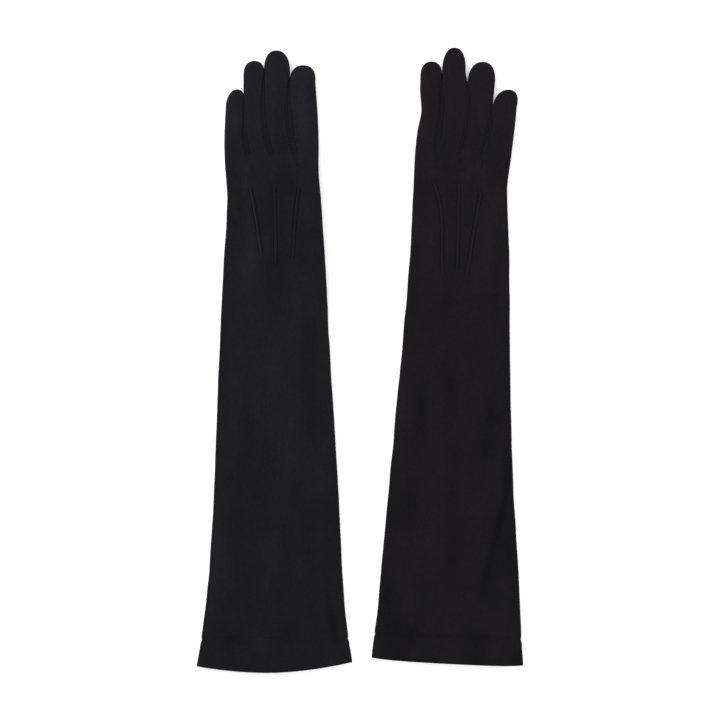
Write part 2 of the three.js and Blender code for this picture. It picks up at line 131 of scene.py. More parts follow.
# Outlines and slits are (v, u) pairs. A tip is (v where it starts to round, tip u, tip v).
# The hem is (v of the little-finger corner, v of the index corner, depth and exponent of the bow
# between them). A crease is (u, v, u, v, half width, depth): a negative depth stands up.
# The tone is (v, how light the nap lies there) pairs. The seed is that of the random unevenness.
GLOVES = {
    "left": {
        "little_edge": [(0, -74.6), (22, -70.6), (60, -65.3), (98, -62.1), (156, -58.6), (310, -52.4),
                        (386, -48.6), (444, -45.1), (470, -46.5), (500, -47.9), (538, -46.4)],
        "index_edge": [(0, 74.4), (22, 71.4), (60, 66.8), (156, 61.6), (310, 52.4), (386, 48.5),
                       (444, 44.5), (466, 42.6), (496, 42.4), (523, 41.6), (558, 39.2)],
        "slits": [
            [(474, -21.0), (490, -26.0), (508, -28.7), (550, -29.6)],
            [(485, -1.5), (505, -8.0), (521, -11.1), (547, -11.6), (566, -9.8)],
            [(479, 22.3), (494, 18.2), (518, 14.3), (534, 13.1), (566, 14.9)],
        ],
        "tips": [(537, -35.6, 551.2), (566, -19.2, 578.6), (569, 2.0, 588.6), (559, 27.8, 574.4)],
        "hem": (-2.6, 1.4, 7.9, 1.8),
        "points": [Tuck(-22.7, 457.5, -12.0, 390.0, 0.5), Tuck(0.3, 459.5, 1.5, 378.0, 0.2),
                   Tuck(23.9, 458.5, 16.7, 384.5, -0.6)],
        "creases": [
            (-44, 473, -31, 462, 2.2, 0.55),
            (-34, 484, -22, 470, 3.0, -0.3),
            (-28, 469, -16, 472, 3.0, 0.4),
            (-6, 478, 16, 474, 3.0, 0.3),
            (0, 487, 34, 484, 3.5, -0.2),
            (24, 476, 40, 472, 2.6, 0.35),
            (34, 479, 43, 466, 3.0, -0.3),
            (-36.5, 459, -36.5, 430, 1.6, -0.35),
            (-0.5, 566, -1.5, 486, 1.5, -0.5),
            (8, 556, 8, 500, 3.0, 0.3),
            (26, 560, 27, 505, 4.0, -0.25),
            (27, 560, 30, 328, 7.0, -0.35),
            (31, 335, 30, 240, 7.0, 0.5),
            (-30, 255, -27, 150, 8.0, 0.5),
            (51, 66, 60, 20, 3.6, 1.15),
            (3, 563, 3, 549, 4.0, -0.45),
            (-6.6, 546, -5.6, 510, 2.4, 0.3),
            (-52, 130, -40, 60, 7.0, -0.4),
            (12, 210, 4, 90, 9.0, -0.5),
            (28, 445, 38, 420, 5.0, -0.4),
            (-28, 446, -30, 436, 3.5, 0.3),
            (-34, 384, -26, 372, 4.0, -0.3),
            (-44, 352, -14, 347, 4.0, 0.25),
        ],
        "tone": [(0, 0.0), (140, 0.05), (270, 0.45), (400, 0.05), (478, 0.1), (522, 0.9)],
        "seed": 11,
    },
    "right": {
        "little_edge": [(0, -73.0), (20, -70.9), (60, -67.8), (98, -64.9), (156, -59.4), (232, -54.6),
                        (310, -51.4), (386, -48.6), (444, -45.3), (457, -44.7), (487, -47.6), (518, -50.6),
                        (538, -51.8)],
        "index_edge": [(0, 72.8), (20, 70.9), (60, 67.4), (156, 61.2), (310, 51.1), (386, 46.8),
                       (444, 45.3), (484, 44.6), (508, 42.7), (527, 39.6), (545, 41.2), (562, 41.4)],
        "slits": [
            [(475, -18.8), (486, -19.2), (502, -22.9), (521, -27.1), (562, -30.6)],
            [(479, 1.1), (489, 0.5), (503, -3.8), (524, -5.9), (549, -4.9), (566, -1.6)],
            [(478, 24.1), (493, 25.3), (509, 22.6), (544, 21.1), (566, 20.7)],
        ],
        "tips": [(534, -43.6, 550.2), (556, -18.2, 576.2), (567, 9.3, 589.0), (561, 31.0, 575.2)],
        "hem": (-1.8, 1.8, 2.1, 4.0),
        "points": [Tuck(-18.9, 450.0, -7.7, 365.5, 0.4), Tuck(2.0, 459.4, 0.5, 372.6, -0.2),
                   Tuck(26.4, 460.5, 14.0, 366.0, -4.4)],
        "creases": [
            (-43, 476, -28, 458, 3.0, 0.55),
            (-46, 466, -32, 452, 3.0, -0.3),
            (-30, 462, -30, 444, 4.0, 0.35),
            (12, 473, 34, 471, 3.0, 0.4),
            (-6, 472, 6, 470, 3.0, 0.35),
            (-16, 486, 4, 484, 3.0, -0.2),
            (-41, 455, -40, 436, 2.4, -0.35),
            (-4, 505, -1, 560, 3.0, -0.3),
            (14, 565, 12, 500, 3.5, -0.35),
            (31, 560, 33, 500, 4.0, -0.2),
            (-2, 388, -12, 374, 3.5, -0.4),
            (30, 384, 26, 372, 5.0, 0.35),
            (-14, 560, -13, 500, 4.0, 0.25),
            (6, 290, -3, 105, 8.0, 0.6),
            (19, 320, 14, 110, 9.0, -0.4),
            (-57, 198, -45, 130, 4.0, 1.0),
            (-45, 130, -33, 72, 4.0, 1.05),
            (-40, 190, -30, 90, 8.0, -0.4),
            (34, 250, 42, 120, 9.0, 0.5),
            (-40, 352, 10, 344, 4.5, 0.4),
        ],
        "tone": [(0, 0.0), (270, -0.05), (340, 0.0), (400, 0.45), (478, 0.5), (522, 0.86)],
        "seed": 47,
    },
}


# ---- numbers along lines, and smooth noise --------------------------------------------------

def mix(a, b, t):
    return a + (b - a) * t


def step(a, b, x):
    """0 below a, 1 above b, smooth between them."""
    t = np.clip((np.asarray(x, float) - a) / (b - a), 0.0, 1.0)
    return t * t * (3.0 - 2.0 * t)


def along(pairs, v):
    """The value at v on a smooth line through (v, value) pairs."""
    x, y = np.array(pairs, float).T
    last = len(x) - 1
    v = np.clip(v, x[0], x[-1])
    k = np.clip(np.searchsorted(x, v, side="right") - 1, 0, last - 1)
    before = np.maximum(np.arange(last + 1) - 1, 0)
    after = np.minimum(np.arange(last + 1) + 1, last)
    slope = (y[after] - y[before]) / (x[after] - x[before])
    span = x[k + 1] - x[k]
    t = (v - x[k]) / span
    ease = t * t * (3 - 2 * t)
    leave = slope[k] * span * t * (1 - t) ** 2
    arrive = slope[k + 1] * span * t * t * (1 - t)
    return mix(y[k], y[k + 1], ease) + leave - arrive


def soft_noise(x, y, cell_x, cell_y, seed):
    """Smooth noise between about -1 and 1, with lumps of the given cell size."""
    side = 64
    table = np.random.default_rng(seed).uniform(-1, 1, (side, side))
    gx = np.asarray(x, float) / cell_x + 1000.0
    gy = np.asarray(y, float) / cell_y + 1000.0
    ix, iy = np.floor(gx).astype(int), np.floor(gy).astype(int)
    fx, fy = gx - ix, gy - iy
    fx = fx ** 3 * (fx * (6 * fx - 15) + 10)
    fy = fy ** 3 * (fy * (6 * fy - 15) + 10)

    def at(i, j):
        return table[(ix + i) % side, (iy + j) % side]

    return mix(mix(at(0, 0), at(1, 0), fx), mix(at(0, 1), at(1, 1), fx), fy)


def power(x, exponent):
    return np.sign(x) * np.abs(x) ** exponent


# ---- how each glove lies --------------------------------------------------------------------

def floor_height(u, v):
    """How high the palm lies: on the thumb near the index side, on the table elsewhere."""
    across = step(-38, -8, u)
    lengthwise = step(*PALM_RISES, v) * (1 - step(*PALM_FALLS, v))
    return PALM_RAISE * across * lengthwise


def tube_height(v):
    sleeve = mix(HEM_OPENING, SLEEVE_HEIGHT, step(0, 60, v))
    hand = mix(sleeve, HAND_HEIGHT, step(*PALM_RISES, v))
    return mix(hand, FINGER_HEIGHT, step(470, KNUCKLE, v))


def hem_bow(glove, u, v):
    """How far the cut edge's bow moves a place near the hem along v."""
    little, index, drop, squareness = glove["hem"]
    share = np.clip(u / HEM_HALF, -1, 1)
    line = mix(little, index, (share + 1) / 2) - drop * (1 - np.abs(share) ** squareness)
    return line * (1 - step(0, HEM_BOW_REACH, v))


def side_wobble(glove, v, side):
    """Small unevenness of a side edge, with the nick where the turned-in hem ends."""
    seed = glove["seed"] + (3 if side > 0 else 5)
    uneven = 0.3 * soft_noise(v, 0 * v, 23, 1, seed) + 0.08 * soft_noise(v, 0 * v, 9, 1, seed + 1)
    nick = -0.8 * np.exp(-((v - HEM_DEPTH + 2) / 1.6) ** 2)
    return side * (0.2 + uneven * (1 - step(480, 500, v)) + nick)


def edges(glove, v):
    left = along(glove["little_edge"], v) + side_wobble(glove, v, -1)
    right = along(glove["index_edge"], v) + side_wobble(glove, v, 1)
    return left, right


def crease_depth(glove, u, v):
    """The sum of the glove's own folds at a place: each is soft along and across."""
    total = np.zeros(np.broadcast(u, v).shape)
    for u0, v0, u1, v1, width, depth in glove["creases"]:
        length = math.hypot(u1 - u0, v1 - v0)
        du, dv = (u1 - u0) / length, (v1 - v0) / length
        forward = (u - u0) * du + (v - v0) * dv
        sideways = (u - u0) * dv - (v - v0) * du
        wander = 0.12 * width * np.sin(forward / 9.0 + u0)
        share = forward / length
        fade = step(-0.35, 0.25, share) * (1 - step(0.75, 1.35, share))
        total = total + depth * fade * np.exp(-((sideways + wander) / width) ** 2)
    return total


def point_axes(tuck):
    """A point's length, and the directions along it and across it."""
    length = math.hypot(tuck.top_u - tuck.end_u, tuck.top_v - tuck.end_v)
    du, dv = (tuck.top_u - tuck.end_u) / length, (tuck.top_v - tuck.end_v) / length
    return length, (du, dv), (dv, -du)


def point_bow(tuck, share):
    """How far a point's line lies off the straight, at a share of the way to its top."""
    return tuck.bow * np.sin(math.pi * np.clip(share, 0, 1) ** 1.8)


def point_distance(tuck, u, v):
    """(share of the way from a point's lower end to its top, distance to its line)."""
    length, forward, across = point_axes(tuck)
    share = ((u - tuck.end_u) * forward[0] + (v - tuck.end_v) * forward[1]) / length
    aside = (u - tuck.end_u) * across[0] + (v - tuck.end_v) * across[1]
    return share, aside - point_bow(tuck, share)


def beside_point(tuck, share, aside):
    """The (u, v) that lies aside of a point's line, at a share of the way to its top."""
    length, forward, across = point_axes(tuck)
    aside = aside + point_bow(tuck, share)
    u = tuck.end_u + share * length * forward[0] + aside * across[0]
    v = tuck.end_v + share * length * forward[1] + aside * across[1]
    return u, v


def point_wander(number, share):
    """The hand's unsteadiness in a sewn line, at a share of the way along it."""
    return 0.2 * np.sin(share * 5 + number) + 0.1 * np.sin(share * 17 + 2 * number)


def point_furrow(glove, u, v):
    """The trough in the back that each raised point sits in."""
    total = np.zeros(np.broadcast(u, v).shape)
    for tuck in glove["points"]:
        share, sideways = point_distance(tuck, u, v)
        fade = step(-0.02, 0.10, share) * (1 - step(0.97, 1.02, share))
        total = total + 1.7 * fade * np.exp(-(sideways / 2.3) ** 2)
    return total


def streaks(glove, u, v):
    """Long soft swells and hollows, as leather keeps from being folded and pressed."""
    seed = glove["seed"]
    wide = soft_noise(u, v, 30, 120, seed)
    narrow = soft_noise(u + 0.1 * v, v, 11, 60, seed + 20)
    cross = soft_noise(u, v + 0.3 * u, 45, 16, seed + 30)
    return wide, narrow, cross


def back_relief(glove, u, v):
    """Everything that makes the top skin uneven, apart from the points' troughs."""
    wide, narrow, cross = streaks(glove, u, v)
    on_hand = step(330, 430, v)
    small = 0.05 * soft_noise(u, v, 4.5, 6.5, glove["seed"] + 40)
    hem_step = -0.22 * step(HEM_DEPTH - 2.5, HEM_DEPTH + 0.8, v)
    lumps = mix(0.75, 0.30, on_hand) * wide + mix(0.28, 0.14, on_hand) * narrow + 0.13 * cross
    return lumps + small + hem_step - crease_depth(glove, u, v)


def nap_and_painted_light(glove, u, v):
    """How light the suede is: nap tone, painted highlight on what stands proud, painted shade in folds."""
    wide, narrow, cross = streaks(glove, u, v)
    patch = soft_noise(u, v, 14, 19, glove["seed"] + 70)
    hem = np.exp(-((v - HEM_DEPTH + 0.8) / 0.9) ** 2)
    # painted highlight on the swells, painted shade in the creases and at the hem's step; patch is nap
    # tone
    tone = 0.22 * wide + 0.3 * narrow + 0.16 * cross + 0.22 * patch
    return 0.9 * tone + along(glove["tone"], v) - 0.75 * crease_depth(glove, u, v) - 0.35 * hem


def palm_relief(glove, u, v):
    seed = glove["seed"] + 100
    return 0.25 * soft_noise(u, v, 30, 60, seed) + 0.1 * soft_noise(u, v, 9, 15, seed + 1)


# ---- the skin as one surface, sleeve to fingertips ------------------------------------------

def oval(angle, width_power, top_power, bottom_power):
    """The unit section at an angle: 0 is the index side, a quarter turn is the top."""
    x = power(np.cos(angle), width_power)
    s = np.sin(angle)
    z = np.where(s >= 0, np.abs(s) ** top_power, -np.minimum(1.0, 1.25 * np.abs(s) ** bottom_power))
    return x, z


def fold_height(v):
    """How high the fold along the side of the tube lies."""
    return mix(SLEEVE_FOLD, FINGER_HEIGHT / 2, step(400, 478, v))


def arm_z(glove, u, v, upper):
    """Height of the arm or hand tube at u, v. upper is true on the back, false on the palm."""
    left, right = edges(glove, v)
    share = np.clip(np.abs(2 * u - left - right) / (right - left), 0, 1)
    dome = (1 - share ** TOP_POWER) ** 0.5
    flat = np.minimum(1, 1.3 * (1 - share ** 6) ** 0.5)
    fold = fold_height(v)
    floor = floor_height(u, v)
    rim = np.minimum(1, 5 * (1 - share))
    relief = back_relief(glove, u, v) - point_furrow(glove, u, v)
    raised = floor + fold + (tube_height(v) - fold) * dome + rim * relief
    lowered = floor + fold * (1 - flat) + np.maximum(0, rim * palm_relief(glove, u, v)) * (floor > 0.2)
    return np.where(upper, raised, lowered)


def skin_height(glove, u, v):
    """The undisturbed back, without the troughs that the points sit in."""
    u, v = np.asarray(u, float), np.asarray(v, float)
    return arm_z(glove, u, v, True) + point_furrow(glove, u, v)


def finger_edges(glove, finger, v):
    gap = SLIT_GAP * step(HAND_END, 498, v)
    left, right = edges(glove, v)
    if finger > 0:
        left = along(glove["slits"][finger - 1], v) + gap
    if finger < len(FINGERS) - 1:
        right = along(glove["slits"][finger], v) - gap
    return left, right


def crotch(glove, finger, side):
    """v where the slit on one side of a finger starts. The outer sides have none."""
    slit = finger - 1 if side < 0 else finger
    if 0 <= slit < len(glove["slits"]):
        return glove["slits"][slit][0][0]
    return CROTCH


def strip_point(glove, finger, angle, v):
    """A point of the skin on one finger, or on the part of the hand that runs up to it.

    angle goes round the finger: half a turn is its little-finger side, 0 its index side."""
    upper = angle >= 0
    turn = np.sign(angle + 1e-12)
    hand_angle = turn * math.pi * (1 - (finger + 1 - np.abs(angle) / math.pi) / len(FINGERS))
    left, right = edges(glove, v)
    hand_x = power(np.cos(hand_angle), 2 / HAND_ROUND)
    hand_u = (left + right) / 2 + hand_x * (right - left) / 2

    start, tip_u, tip_v = glove["tips"][finger]
    in_finger = np.minimum(v, start)
    near, far = finger_edges(glove, finger, in_finger)
    past = np.clip((v - start) / (tip_v - start), 0, 1)
    closing = (1 - past ** TOP_POWER) ** (1 / TOP_POWER)
    x, z = oval(angle, 2 / FINGER_ROUND, 2 / 2.5, 2 / 4.0)
    middle = mix((near + far) / 2, tip_u, past)
    finger_u = middle + x * (far - near) / 2 * closing

    spread = step(400, 474, v)
    u = mix(hand_u, finger_u, spread)
    across = (1 + np.cos(angle)) / 2
    opens = mix(crotch(glove, finger, -1), crotch(glove, finger, 1), across)
    own = step(-7, 13, v - opens)
    height = FINGER_HEIGHT * np.sqrt(closing)
    relief = (1 - past) * np.maximum(0, z) ** 0.5 * back_relief(glove, u, v)
    finger_z = floor_height(u, v) + FINGER_HEIGHT / 2 * mix(1, 0.94, past) + z * height / 2 + relief
    return u, mix(arm_z(glove, u, v, upper), finger_z, own)


def hand_ring(glove, v):
    """One row round the whole hand: over the back towards the index, then back under the palm."""
    top = math.pi * (1 - np.arange(FINGER_COLUMNS + 1) / FINGER_COLUMNS)
    under = -top[::-1]
    first, *others = range(len(FINGERS))
    stretches = [(first, top)]
    stretches += [(finger, top[1:]) for finger in others]
    stretches += [(finger, under[1:]) for finger in reversed(others)]
    stretches += [(first, under[1:-1])]
    strips = [strip_point(glove, finger, angles[None, :], v[:, None]) for finger, angles in stretches]
    u, z = [np.concatenate(parts, 1) for parts in zip(*strips)]
    return np.stack([u, np.broadcast_to(v[:, None], u.shape), z], -1)


def finger_ring(glove, finger, v, seam_angle):
    """One row round a finger. seam_angle, per row, is how far the fourchettes reach up its sides."""
    seam = seam_angle[:, None]
    side = np.arange(SIDE_COLUMNS + 1)[None, :] / SIDE_COLUMNS
    face_count = FINGER_COLUMNS - 2 * SIDE_COLUMNS
    face = np.arange(1, face_count)[None, :] / face_count
    quarter = [math.pi - side * seam, math.pi - seam - face * (math.pi - 2 * seam), seam * (1 - side)]
    top = np.concatenate(quarter, 1)
    bottom = -top[:, ::-1][:, 1:-1]
    angle = np.concatenate([top, bottom], 1)
    u, z = strip_point(glove, finger, angle, v[:, None])
    return np.stack([u, np.broadcast_to(v[:, None], u.shape), z], -1)


# ---- from drawn points to pieces ------------------------------------------------------------

joints = {j["name"]: j for j in frame["joints"]}


def place(side, points):
    """Drawn (u, v, z) points in millimetres to points of the frame in metres."""
    elbow = joints[side + "_elbow_bend"]
    axis = np.array(elbow["axis"][:2], float)
    axis /= np.linalg.norm(axis)
    forward = np.array([-axis[1], axis[0]])
    across = axis if side == "left" else -axis
    origin = np.array(elbow["pos_m"][:2]) - forward * ELBOW * MM
    points = np.asarray(points, float)
    flat = origin + points[..., :1] * MM * across + points[..., 1:2] * MM * forward
    return np.concatenate([flat, points[..., 2:3] * MM], -1)


def make_mesh(name, side, points, faces, material, tone=None):
    """A smooth piece from drawn points. Faces are listed for the left glove and turned over
    for the right one, which is drawn mirrored. tone is how light the suede is at each point,
    with painted shade and painted highlight in it."""
    placed = place(side, np.asarray(points).reshape(-1, 3))
    if side == "right":
        faces = [tuple(reversed(f)) for f in faces]
    mesh = bpy.data.meshes.new(name)
    mesh.from_pydata(placed.tolist(), [], [tuple(int(i) for i in f) for f in faces])
    if tone is not None:
        layer = mesh.attributes.new("nap_and_painted_light", "FLOAT", "POINT")
        layer.data.foreach_set("value", np.asarray(tone, np.float32).reshape(-1))
    mesh.materials.append(material)
    piece = bpy.data.objects.new(name, mesh)
    bpy.context.scene.collection.objects.link(piece)
    return piece


def thicken(piece, thickness, inner_material):
    """Gives a skin its thickness inwards. Its inner side may have a material of its own."""
    if inner_material:
        piece.data.materials.append(inner_material)
    solid = piece.modifiers.new("skin", "SOLIDIFY")
    solid.thickness = thickness * MM
    solid.offset = -1
    solid.use_rim = True
    solid.material_offset = 1 if inner_material else 0
    graph = bpy.context.evaluated_depsgraph_get()
    mesh = bpy.data.meshes.new_from_object(piece.evaluated_get(graph))
    piece.modifiers.clear()
    old = piece.data
    piece.data = mesh
    bpy.data.meshes.remove(old)
    mesh.name = piece.name


def finish_mesh(piece, thickness=0.0, inner_material=None):
    """Merges doubled points, drops loose ones, and thickens and shades the skin."""
    sheet = bmesh.new()
    sheet.from_mesh(piece.data)
    loose = [v for v in sheet.verts if not v.link_faces]
    bmesh.ops.delete(sheet, geom=loose, context="VERTS")
    bmesh.ops.remove_doubles(sheet, verts=sheet.verts, dist=0.01 * MM)
    sheet.to_mesh(piece.data)
    sheet.free()
    if thickness:
        thicken(piece, thickness, inner_material)
    shade(piece)


def shade(piece):
    """Smooth, but with a clean edge where a skin has been cut."""
    mesh = piece.data
    mesh.polygons.foreach_set("use_smooth", [True] * len(mesh.polygons))
    mesh.set_sharp_from_angle(angle=SHARP_ANGLE)


def grid_faces(rows, columns, closed=True, keep=None):
    """Quads of a grid of points. keep(row, column) picks the ones wanted."""
    faces = []
    for r in range(rows - 1):
        for c in range(columns if closed else columns - 1):
            if keep is None or keep(r, c):
                near, far = r * columns, (r + 1) * columns
                d = (c + 1) % columns
                faces.append((near + c, near + d, far + d, far + c))
    return faces


def blend_at(piece, side, bend, length):
    """Bakes the piece's placing into its mesh. The points at the bend and past it are not used."""
    start, end = place(side, np.array([[0, bend, 0], [0, bend + length, 0]], float))
    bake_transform(piece)


def spaced(start, end, pitch):
    return np.linspace(start, end, max(2, int(round((end - start) / pitch)) + 1))


# ---- materials ------------------------------------------------------------------------------

def link(tree, source, output, target, input_name):
    tree.links.new(source.outputs[output], target.inputs[input_name])


def noise_node(tree, coordinates, scale, detail, stretch):
    mapping = tree.nodes.new("ShaderNodeMapping")
    mapping.inputs["Scale"].default_value = stretch
    noise = tree.nodes.new("ShaderNodeTexNoise")
    noise.inputs["Scale"].default_value = scale
    noise.inputs["Detail"].default_value = detail
    noise.inputs["Roughness"].default_value = 0.6
    link(tree, coordinates, "Object", mapping, "Vector")
    link(tree, mapping, "Vector", noise, "Vector")
    return noise


def mix_node(tree, first, first_output, second, second_output, share):
    node = tree.nodes.new("ShaderNodeMix")
    node.data_type = "FLOAT"
    node.inputs["Factor"].default_value = share
    link(tree, first, first_output, node, "A")
    link(tree, second, second_output, node, "B")
    return node


def range_node(tree, source, output, from_range, to_range):
    node = tree.nodes.new("ShaderNodeMapRange")
    node.inputs["From Min"].default_value = from_range[0]
    node.inputs["From Max"].default_value = from_range[1]
    node.inputs["To Min"].default_value = to_range[0]
    node.inputs["To Max"].default_value = to_range[1]
    link(tree, source, output, node, "Value")
    return node


def bump_node(tree, height, strength, distance):
    node = tree.nodes.new("ShaderNodeBump")
    node.inputs["Strength"].default_value = strength
    node.inputs["Distance"].default_value = distance
    link(tree, height, "Fac", node, "Height")
    return node


def new_material(name):
    material = bpy.data.materials.new(name)
    material.use_nodes = True
    tree = material.node_tree
    return material, tree, tree.nodes["Principled BSDF"]


def suede(name, dark, light, sheen, grain=0.00018):
    """Napped leather: mottled where the nap has been brushed, with a fine fibrous grain."""
    material, tree, shader = new_material(name)
    coordinates = tree.nodes.new("ShaderNodeTexCoord")
    brushed = noise_node(tree, coordinates, 30.0, 5.0, (1.0, 0.45, 1.0))
    fibres = noise_node(tree, coordinates, 380.0, 4.0, (1.0, 0.5, 1.0))
    pores = noise_node(tree, coordinates, 1500.0, 3.0, (1.0, 0.8, 1.0))

    blended = mix_node(tree, brushed, "Fac", fibres, "Fac", 0.4)
    napped = mix_node(tree, blended, "Result", pores, "Fac", 0.5)

    ramp = tree.nodes.new("ShaderNodeValToRGB")
    ramp.color_ramp.elements[0].position = 0.36
    ramp.color_ramp.elements[0].color = (*dark, 1)
    ramp.color_ramp.elements[1].position = 0.64
    ramp.color_ramp.elements[1].color = (*light, 1)
    link(tree, napped, "Result", ramp, "Fac")

    # the point attribute scales the base colour: nap tone together with painted shade and painted
    # highlight
    nap_and_painted_light_tone = tree.nodes.new("ShaderNodeAttribute")
    nap_and_painted_light_tone.attribute_name = "nap_and_painted_light"
    lightness = range_node(tree, nap_and_painted_light_tone, "Fac", (-1.5, 1.5), (0.35, 1.65))
    toned = tree.nodes.new("ShaderNodeVectorMath")
    toned.operation = "SCALE"
    link(tree, ramp, "Color", toned, "Vector")
    link(tree, lightness, "Result", toned, "Scale")
    link(tree, toned, "Vector", shader, "Base Color")

    rough = range_node(tree, fibres, "Fac", (0.0, 1.0), (0.82, 1.0))
    link(tree, rough, "Result", shader, "Roughness")

    coarse = bump_node(tree, fibres, 0.6, 2 * grain)
    fine = bump_node(tree, pores, 0.9, grain)
    link(tree, coarse, "Normal", fine, "Normal")
    link(tree, fine, "Normal", shader, "Normal")

    shader.inputs["Specular IOR Level"].default_value = 0.05
    shader.inputs["Sheen Weight"].default_value = sheen
    shader.inputs["Sheen Roughness"].default_value = 0.5
    shader.inputs["Sheen Tint"].default_value = (0.62, 0.62, 0.68, 1)
    return material


def thread(name):
    """Black sewing thread: twisted strands with a slight gloss."""
    material, tree, shader = new_material(name)
    coordinates = tree.nodes.new("ShaderNodeTexCoord")
    twist = noise_node(tree, coordinates, 1600.0, 1.0, (1.0, 0.4, 1.0))
    ramp = tree.nodes.new("ShaderNodeValToRGB")
    ramp.color_ramp.elements[0].color = (0.0012, 0.0012, 0.0013, 1)
    ramp.color_ramp.elements[1].color = (0.0035, 0.0035, 0.0038, 1)
    link(tree, twist, "Fac", ramp, "Fac")
    link(tree, ramp, "Color", shader, "Base Color")
    bump = bump_node(tree, twist, 0.5, 0.0001)
    link(tree, bump, "Normal", shader, "Normal")
    shader.inputs["Roughness"].default_value = 0.6
    shader.inputs["Specular IOR Level"].default_value = 0.08
    return material


SUEDE = {
    "left": suede("left_suede", (0.0027, 0.0026, 0.0033), (0.0082, 0.0080, 0.0099), 0.15),
    "right": suede("right_suede", (0.0024, 0.0020, 0.0025), (0.0076, 0.0066, 0.0078), 0.15),
}
STRIP_SUEDE = suede("strip_suede", (0.0022, 0.0021, 0.0026), (0.0072, 0.0070, 0.0084), 0.12)
FLESH = suede("flesh_side", (0.004, 0.004, 0.0044), (0.0125, 0.0125, 0.0135), 0.1, grain=0.0003)
THREAD = thread("black_thread")


# ---- sleeve, hem and hand -------------------------------------------------------------------

def arm_ring(glove, v, inset):
    """Rows of the arm tube, each set in by inset from the outer surface."""
    ring = hand_ring(glove, v)
    u, z = ring[..., 0], ring[..., 2]
    left, right = edges(glove, v)
    middle = ((left + right) / 2)[:, None]
    half = ((right - left) / 2)[:, None]
    inset = np.asarray(inset, float)[:, None]
    rows = np.broadcast_to(v[:, None], u.shape)
    high = arm_z(glove, u, rows, True)
    low = arm_z(glove, u, rows, False)
    centre = (high + low) / 2
    z = np.where(z > centre, np.maximum(z - inset, centre), np.minimum(z + inset, centre))
    u = middle + (u - middle) * (half - inset) / half
    return np.stack([u, rows + hem_bow(glove, u, v[:, None]), z], -1)


def make_sleeve(side):
    """The long skin from the hem's fold to the wrist, and the part of it turned in at the hem."""
    glove = GLOVES[side]
    turn = np.linspace(math.pi, 0, 7)
    fold_inset = HEM_FOLD * (1 - np.cos(turn))
    fold_v = HEM_FOLD * (1 - np.sin(turn))
    hem_rows = spaced(2.4, HEM_DEPTH + 5, 1.3)
    arm_rows = spaced(HEM_DEPTH + 8, SLEEVE_END - 2, 3.6)
    rows = np.concatenate([fold_v, hem_rows, arm_rows, [SLEEVE_END - 0.5, SLEEVE_END]])
    inset = np.concatenate([fold_inset, np.zeros(len(rows) - len(fold_v))])
    points = arm_ring(glove, rows, inset)
    tone = nap_and_painted_light(glove, points[..., 0], points[..., 1])
    faces = grid_faces(len(rows), ARM_COLUMNS)
    skin = make_mesh(side + "_sleeve_skin", side, points, faces, SUEDE[side], tone)
    finish_mesh(skin, LEATHER, FLESH)
    blend_at(skin, side, ELBOW, ELBOW_CREASE)
    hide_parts(side + "_upper_sleeve", side + "_forearm")

    rows = np.concatenate([np.linspace(HEM_DEPTH, 2.4, 12), [HEM_FOLD]])
    points = arm_ring(glove, rows, np.full(len(rows), 2 * HEM_FOLD))
    faces = grid_faces(len(rows), ARM_COLUMNS)
    facing = make_mesh(side + "_hem_turned_in", side, points, faces, SUEDE[side])
    finish_mesh(facing, LEATHER * 0.8)
    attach(facing, side + "_sleeve")
    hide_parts(side + "_hem_facing")


def crotch_shade(glove, u, v):
    """How close a point of the hand lies to the start of a slit, 0 when it is far from all: painted shade.
    """
    total = np.zeros(np.broadcast(u, v).shape)
    for slit in glove["slits"]:
        start = slit[0][0]
        near = np.exp(-((u - along(slit, v)) / 1.1) ** 2)
        total = total + 1.4 * near * step(start - 5, start + 2, v)
    return total


def make_hand(side):
    glove = GLOVES[side]
    rows = np.concatenate([[SLEEVE_END, SLEEVE_END + 0.5], spaced(SLEEVE_END + 2, 440, 1.6),
                           spaced(441, HAND_END - 0.6, 1.0), [HAND_END - 0.3, HAND_END]])
    points = hand_ring(glove, rows)
    u, v = points[..., 0], points[..., 1]
    # painted shade: the hand is darkened where each slit starts, between the fingers
    tone = nap_and_painted_light(glove, u, v) - 1.1 * crotch_shade(glove, u, v)
    faces = grid_faces(len(rows), ARM_COLUMNS)
    skin = make_mesh(side + "_hand_skin", side, points, faces, SUEDE[side], tone)
    finish_mesh(skin, LEATHER)
    blend_at(skin, side, WRIST, WRIST_CREASE)
    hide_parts(side + "_hand")


# ---- fingers and fourchettes ----------------------------------------------------------------

def finger_rows(glove, finger):
    start, _, tip_v = glove["tips"][finger]
    straight = np.concatenate([[HAND_END, HAND_END + 0.3], spaced(HAND_END + 1, start, 1.15)])
    turn = np.linspace(0, math.pi / 2, 15)[1:]
    return np.concatenate([straight, start + (tip_v - start) * np.sin(turn) * 0.9999])


